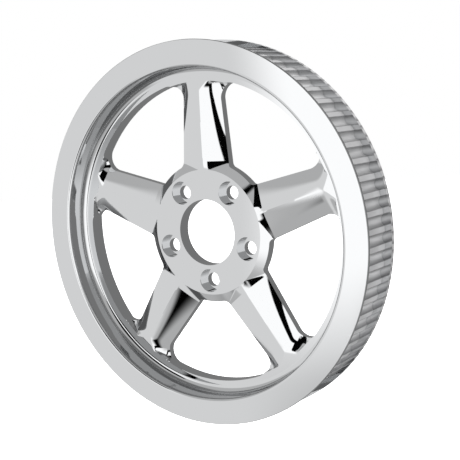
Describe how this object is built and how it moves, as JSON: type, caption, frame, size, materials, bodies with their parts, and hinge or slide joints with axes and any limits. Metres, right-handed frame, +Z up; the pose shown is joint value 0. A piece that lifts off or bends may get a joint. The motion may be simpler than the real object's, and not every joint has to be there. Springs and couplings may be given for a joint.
{
  "type": "belt pulley",
  "caption": "Round toothed belt pulley with flanges beside the belt track, a recessed web with crowned spokes between open windows, and a bored hub with counterbored bolt holes.",
  "frame": {"origin": "on the bore axis, in the plane of the hub's flat rear face, at the centre of the bolt circle", "axes": "+Y along the bore axis towards the rear, seating side; the front face looks towards -Y; +Z up along the middle of one spoke; +X to the right seen from the front"},
  "size_m": [0.321, 0.045, 0.321],
  "materials": {
    "chrome_plate": "polished chrome plate on aluminium, satin in the tooth track"
  },
  "bodies": {
    "root": {"belt_pulley": "chrome_plate"}
  },
  "joints": []
}
